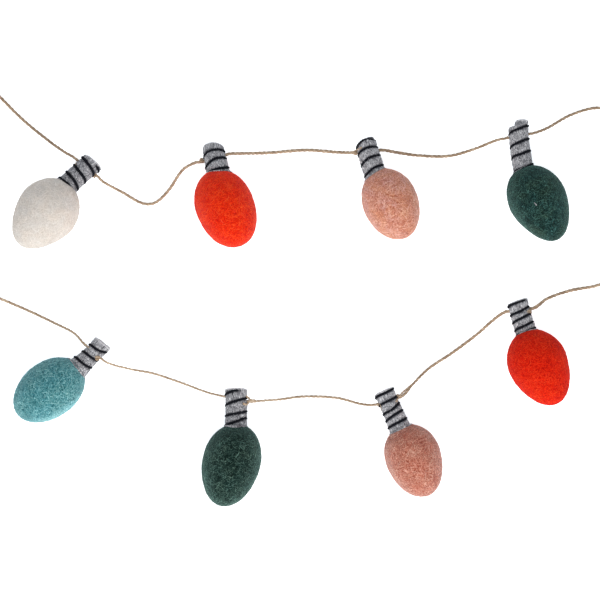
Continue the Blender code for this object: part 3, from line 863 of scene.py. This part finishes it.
def yarn_route(line, winding):
    """Turns past the first crossing's top, and distance from the neck's end, along the yarn."""
    known = []
    for k, band in enumerate(winding.bands):
        for side, distance in zip((-1, 0, 1), band[:: -winding.hand]):
            angle = side * math.asin(SIDE_LOOK / float(line.radius(0.7)))
            share = line.share_seen(distance * MM, -winding.hand * angle)
            known.append((k + angle / (2 * math.pi), (1 - share) * line.length))
    first, last = known[1], known[-2]
    pitch = (last[1] - first[1]) / (last[0] - first[0])
    known.insert(0, (known[0][0] - 0.5, known[0][1] - 0.4 * pitch))
    known.append((known[-1][0] + 0.5, known[-1][1] + 0.3 * pitch))
    turns = np.arange(-winding.begin, len(winding.bands) - 1 + YARN_END_TURN, 1 / 72)
    distances = np.interp(turns, [at for at, _ in known], [far for _, far in known])
    return turns, np.convolve(np.pad(distances, 4, "edge"), np.ones(9) / 9, "valid")


def roll_side(line, base, winding, roll, route, around):
    """The roll's side from its rim to the body: its points, how they face, the cut's slant at
    each angle, and how deep the yarn's groove is, from 0 to 1.
    """
    turns, distances = route
    lap = LAP * (((around - math.radians(roll.seam)) / (2 * np.pi)) % 1.0 - 0.5)
    slant = roll.slant * MM * np.cos(around - math.radians(roll.slant_side))
    start = RIM - (PROUD if roll.step else 0.0)
    to_end = start + np.linspace(0, 1, NECK_ROWS)[:, None] * ((1 - base) * line.length - start)
    share = 1 - (to_end - slant * np.maximum(0, 1 - to_end / SLANT_DEPTH)) / line.length
    at_turn = (-winding.hand * around / (2 * np.pi))[:, None]
    gap = np.abs((turns - at_turn + 0.5) % 1.0 - 0.5) > 0.02
    away = np.abs(distances - to_end[..., None]) + gap  # a metre too far where it is elsewhere
    groove = np.exp(-((away.min(axis=-1) / GROOVE_WIDTH) ** 2))
    if roll.step:
        right, core = roll.core_right * MM, roll.core_radius * MM
        inner = right * np.sin(around) + np.sqrt(core**2 - (right * np.cos(around)) ** 2)
        stop = roll.step * MM * (1 - 0.85 * np.sin(around))
        short = np.clip((stop - to_end) / STEP_BLEND + 0.5, 0, 1)
        lap = lap + short * np.minimum(inner - line.radius(1.0), 0)
    points = line.on(share, around[None], lap - GROOVE * groove)
    _, side, up, _ = line.at(share)
    return points, np.cos(around)[:, None] * up + np.sin(around)[:, None] * side, slant, groove


def roll_end(line, roll, rim, slant, around, seed):
    """Rings over the cut end, from its middle to its rounded rim, with the roll's spiral crease."""
    _, side, up, _ = line.at(1.0)
    along = np.cross(up, side)
    wrap = ((around - math.radians(roll.seam)) / (2 * np.pi)) % 1.0
    middle = rim.mean(axis=0)
    out = rim - middle
    out = out - (out @ along)[:, None] * along
    rings = []
    for share in END_RINGS:
        spiral = (share * ROLL_TURNS - wrap) % 1.0
        crease = np.exp(-((np.minimum(spiral, 1 - spiral) / CREASE_WIDTH) ** 2))
        depth = CREASE * crease * (0.1 < share < 0.92) + RIM * max(0, (share - 0.85) / 0.15) ** 2
        far = RIM + slant * share + roll.middle * MM * (1 - share**2) - depth
        ring = middle + share * out + far[:, None] * along
        rings.append(ring + (0.00025 * wander(ring, 0.003, seed))[:, None] * along)
    return np.array(rings)


def roll_hem(egg, foot, facing, around, number):
    """Rings of the roll's foot, drawn out thin over the body."""
    left, top, right = HEMS[number - 1]
    reach = np.where(np.sin(around) < 0, left, right) * np.sin(around) ** 2
    reach = reach + np.where(np.cos(around) < 0, HEM_UNDER, top) * np.cos(around) ** 2
    reach = MM * reach * (1 + 0.35 * wander(foot, 0.004, number))
    rings = []
    for share, lift in ((0.3, 0.0007), (0.65, 0.0006), (0.92, 0.0004), (1.0, -0.0002)):
        point, normal = egg.onto(foot + (share * reach)[:, None] * facing)
        rings.append(point + lift * normal)
    return np.array(rings)


def add_roll_fibres(shape, side, facing, rng):
    """Single fibres that stand off the roll's side."""
    count, steps = 320, 5
    row = rng.integers(0, NECK_ROWS - 6, count)
    column = rng.integers(0, NECK_SIDES, count)
    point, normal = side[row, column], facing[row, column]
    lengthwise = unit(side[row + 5, column] - point)
    heading = lengthwise * rng.choice([-1, 1], size=(count, 1))
    heading = heading + rng.normal(0, 0.5, size=(count, 1)) * np.cross(normal, lengthwise)
    length = rng.uniform(0.001, 0.0035, size=(count, 1))
    lift = rng.uniform(0.0, 0.6, size=(count, 1)) ** 2
    centres = bent(point + 0.00003 * normal, length, heading, lift * normal, steps)
    radii = rng.uniform(0.00006, 0.00015, size=(count, 1)) * (1.15 - np.linspace(0, 1, steps))
    add_strands(shape, centres, normal[:, None], radii, rng.uniform(0, 1, count))


def add_stray(shape, egg, rng):
    """A tuft of short fibres that lies on the body."""
    count, steps = 7, 5
    top = egg.centre[2] + 0.5 * egg.body.width
    start = np.array([STRAY.x * MM, STRAY.y * MM, top]) + rng.normal(0, 0.00022, size=(count, 3))
    heading = math.radians(STRAY.heading) + rng.normal(0, 0.35, count)
    run = np.stack([np.sin(heading), np.cos(heading), 0 * heading], axis=1)
    shares = np.linspace(-0.5, 0.5, steps)[:, None]
    point, normal = egg.onto(start[:, None] + 0.0033 * shares * run[:, None])
    radii = np.full((count, steps), 0.00016)
    add_strands(shape, point + 0.0003 * normal, normal, radii, rng.uniform(0.3, 0.8, count))


def add_neck(number, egg, line, winding, roll, mouths):
    """The grey felt roll: lapped, cut off at its end, and pinched where the yarn goes round."""
    seed = 500 + 10 * number
    route = yarn_route(line, winding)
    around = circle(NECK_SIDES)
    base = line.meets(egg, around)
    side, facing, slant, groove = roll_side(line, base, winding, roll, route, around)
    bumps = lumps(side, seed, ROLL_LUMPS)
    for mouth in mouths:
        away = np.linalg.norm(side - np.array(mouth), axis=-1)
        bumps -= MOUTH_DIP * np.exp(-((away / MOUTH_WIDTH) ** 2))
    side = side + bumps[..., None] * facing
    end = roll_end(line, roll, side[0], slant, around, seed + 2)
    reaches = (0.85, 0.6, 0.3)
    seat = [line.on(line.meets(egg, around, reach), around, 0.0, reach) for reach in reaches]
    hem = roll_hem(egg, side[-1], facing[-1], around, number)
    rows = np.concatenate([end, side, hem, np.array(seat)])
    tones = np.full(rows.shape[:2], roll.pale)
    # The cut end a little lighter; its rounded rim lighter still, a painted highlight.
    tones[: len(end)] += 0.10
    tones[len(end) - 1 : len(end) + 1] = 0.30
    # Darker in the yarn's groove: painted shade.
    tones[len(end) : len(end) + NECK_ROWS] -= 0.35 * groove
    rise = np.linalg.norm(rows - rows[:1], axis=-1).mean(axis=1)[:, None]
    grain = np.stack(np.broadcast_arrays(around * line.radius(0.5), rise, float(number)), axis=-1)
    grain[: len(end)] = rows[: len(end)]
    skin = Shape()
    add_skin(skin, rows, end[0].mean(axis=0), seat[-1].mean(axis=0), [0, *tones.ravel(), 0])
    skin.grain = np.concatenate([grain[0, :1], grain.reshape(-1, 3), grain[-1, :1]])
    made = skin.build(f"bulb_{number}_roll", "felt_grey", "felt_grey")
    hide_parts(f"bulb_{number}_neck")

    rng = np.random.default_rng(200 + number)
    strands = Shape()
    add_roll_fibres(strands, side, facing, rng)
    if number == STRAY.bulb:
        add_stray(strands, egg, rng)
    strands.build(f"bulb_{number}_roll_strands", "fibre_grey", "felt_grey")
    return route


# ---- yarn ----

YARN_REACH, YARN_PLY = 0.00046, 0.00070  # a ply's middle from the yarn's, and its radius
YARN_LAY = 0.0046  # length of one twist
YARN_SINK = 0.00055  # how deep the yarn's middle lies in the felt
YARN_DIVE = 0.0022  # how much deeper its ends go


def add_yarn(number, line, winding, route):
    """Black yarn round a neck, its ends drawn into the felt."""
    rng = np.random.default_rng(300 + number)
    turns, distances = route
    distances = np.clip(distances, 0.0004, line.length + 0.004)
    from_end = np.minimum(turns - turns[0], turns[-1] - turns)
    sink = YARN_SINK + YARN_DIVE * np.maximum(0, 1 - from_end / 0.05)
    angle = -winding.hand * 2 * np.pi * turns
    path = line.on(1 - distances / line.length, angle, -sink)
    shape = Shape()
    reach, ply = winding.thick * YARN_REACH, winding.thick * YARN_PLY
    add_plied(shape, path, 2, reach, ply, YARN_LAY, (0.4, 0.6), rng)
    made = shape.build(f"bulb_{number}_yarn", "yarn_black", "yarn_black")
    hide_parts(f"bulb_{number}_thread")


# ---- twine ----

PLY_REACH, PLY_THICK = 0.00050, 0.00060  # a ply's middle from the twine's, and its radius
TWINE_LAY = 0.0130  # length of one twist
KNOT_STEPS = 60


def laid_height(spot, line, path):
    """Height of the neck's top at a spot in plan, or of the twine beside it."""
    height = path[np.linalg.norm(path[:, :2] - spot, axis=1).argmin(), 2]
    if line is not None:
        centre, side, _, radius = line.at(np.linspace(-0.3, 1.1, 200))
        nearest = np.linalg.norm(centre[:, :2] - spot, axis=1).argmin()
        off = abs((spot - centre[nearest, :2]) @ side[nearest, :2])
        if off < radius[nearest]:
            height = centre[nearest, 2] + math.sqrt(radius[nearest] ** 2 - off**2)
    return height


def knot_path(path, knot, line):
    """An overhand knot in the twine, which lies on the neck or on the surface."""
    spot, size = MM * np.array([knot.x, knot.y]), MM * knot.size
    nearest = np.linalg.norm(path[:, :2] - spot, axis=1).argmin()
    along, ups = carried_up(path)
    run, up = along[nearest], ups[nearest]
    height = max(laid_height(spot, line, path) + 0.2 * size, 1.05 * size)
    across = np.cross(run, up)
    turn = circle(KNOT_STEPS)[:, None]
    rise, width = np.sin(turn) + 2 * np.sin(2 * turn), np.cos(turn) - 2 * np.cos(2 * turn)
    loop = 0.27 * (rise * up + width * across) + 0.45 * np.sin(3 * turn) * run
    return np.array([*spot, height]) + size * loop


def draped(points, line, path, lift):
    """Points in plan laid on a neck, or beside the twine where they are off it."""
    plan = np.array(points)[:, :2]
    heights = np.array([laid_height(spot, line, path) for spot in plan])
    heights[1:-1] = (heights[:-2] + heights[1:-1] + heights[2:]) / 3
    return np.column_stack([plan, heights + lift])


def add_hairs(shape, path, rng):
    """Fine loose fibres along the twine."""
    count, steps = 900, 4
    path = even_path(path, 0.001)[0]
    along, ups = carried_up(path)
    at = rng.integers(2, len(path) - 2, count)
    angle = rng.uniform(0, 2 * np.pi, size=(count, 1))
    out = np.cos(angle) * ups[at] + np.sin(angle) * np.cross(along[at], ups[at])
    heading = along[at] * rng.choice([-1, 1], size=(count, 1)) + 0.5 * out
    curve = rng.normal(0, 0.4, size=(count, 3))
    length = rng.uniform(0.001, 0.0030, size=(count, 1))
    centres = bent(path[at] + 0.0008 * out, length, heading, curve, steps)
    centres[..., 2] = np.maximum(centres[..., 2], 0.0001)
    radii = 0.000045 * (1.15 - np.linspace(0, 1, steps))
    ups = np.cross(out, heading)[:, None]
    add_strands(shape, centres, ups, radii, rng.uniform(0.3, 1, count))


def add_twine(path, swell, pale, lines):
    """The jute twine, three plies twisted together, with its knots, loose ends and fibres."""
    rng = np.random.default_rng(7)
    shape, knots, fuzz = Shape(), Shape(), Shape()
    tones = (0.42, 0.58, 0.50)
    add_plied(shape, path, 3, PLY_REACH, PLY_THICK, TWINE_LAY, tones, rng, swell, pale)
    for knot in KNOTS:
        loop = knot_path(path, knot, lines[knot.bulb - 1] if knot.bulb else None)
        loop = np.concatenate([loop, loop[:3]])
        reach, thick = 0.22 * MM * knot.size, 0.36 * MM * knot.size
        add_plied(knots, loop, 2, reach, thick, 0.005, (0.42, 0.60), rng)
    for wisp in WISPS:
        spots = [MM * Vector((*point, 0)) for point in wisp.points]
        before, after = 2 * spots[0] - spots[1], 2 * spots[-1] - spots[-2]
        thick = MM * wisp.thick
        laid = draped(smooth_run(spots, before, after, 8), lines[wisp.bulb - 1], path, 0.5 * thick)
        add_plied(knots, laid, 2, 0.2 * thick, 0.33 * thick, 0.006, (0.45, 0.70), rng)
    add_hairs(fuzz, path, rng)

    made = shape.build("garland_twine", "jute", "jute")
    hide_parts("twine")
    tied = knots.build("twine_knots", "jute", "jute")
    hairs = fuzz.build("twine_hairs", "jute", "jute")


# ---- light and floor ----

COOL, WARM = (0.93, 0.975, 1.02), (1.0, 0.975, 0.94)
FLOOR_HALF, FLOOR_DROP = 30.0, 0.0002  # half the floor's width, and how far below the felt it is


def add_area(name, location, size, power, colour=(1, 1, 1)):
    """A square soft light that faces the middle of the garland."""
    data = bpy.data.lights.new(name, "AREA")
    data.size = size
    data.energy = power
    data.color = colour
    light = placed(name, data)
    light.location = location
    light.rotation_euler = (Vector((0, 0, 0.02)) - Vector(location)).to_track_quat("-Z", "Y").to_euler()


def add_floor():
    """A plain white surface."""
    mesh = bpy.data.meshes.new("floor")
    corners = [(x * FLOOR_HALF, y * FLOOR_HALF, 0) for x, y in ((-1, -1), (1, -1), (1, 1), (-1, 1))]
    mesh.from_pydata(corners, [], [(0, 1, 2, 3)])
    floor = placed("floor", mesh)
    floor.location.z = -FLOOR_DROP
    made = bpy.data.materials.new("floor_white")
    made.use_nodes = True
    fill(made.node_tree, made.node_tree.nodes["Principled BSDF"], {
        "Base Color": (0.9, 0.9, 0.9, 1), "Roughness": 0.9,
        "Emission Color": (*COOL, 1), "Emission Strength": 0.80,
    })
    mesh.materials.append(made)


def add_light():
    world = bpy.data.worlds.new("studio")
    bpy.context.scene.world = world
    world.use_nodes = True
    background = world.node_tree.nodes["Background"]
    fill(world.node_tree, background, {"Color": (*COOL, 1), "Strength": 0.47})
    add_area("key", (0.15, -1.48, 1.73), 1.6, 55.0, WARM)
    add_area("fill", (-0.9, 0.9, 1.9), 1.6, 4.5)


# ---- the garland ----

add_camera()
eggs = [Egg(body) for body in BODIES]
lines = [NeckLine(body, neck, egg.centre) for body, neck, egg in zip(BODIES, NECKS, eggs)]
all_mouths = [tunnel_ends(line, tunnel) for line, tunnel in zip(lines, TUNNELS)]
path, swell, pale = twine_path(all_mouths)

for number, wool in enumerate(WOOLS, 1):
    felt(number, wool)
    fibre(number, wool)
grey_felt()
grey_fibre()
black_yarn()
jute()

add_twine(path, swell, pale, lines)
for number, (egg, line, wool, winding, roll, mouths) in enumerate(
    zip(eggs, lines, WOOLS, WINDINGS, ROLLS, all_mouths), 1
):
    add_body(number, egg, wool.curl)
    route = add_neck(number, egg, line, winding, roll, mouths)
    add_yarn(number, line, winding, route)
add_floor()
add_light()
bpy.context.scene.view_settings.view_transform = "Standard"
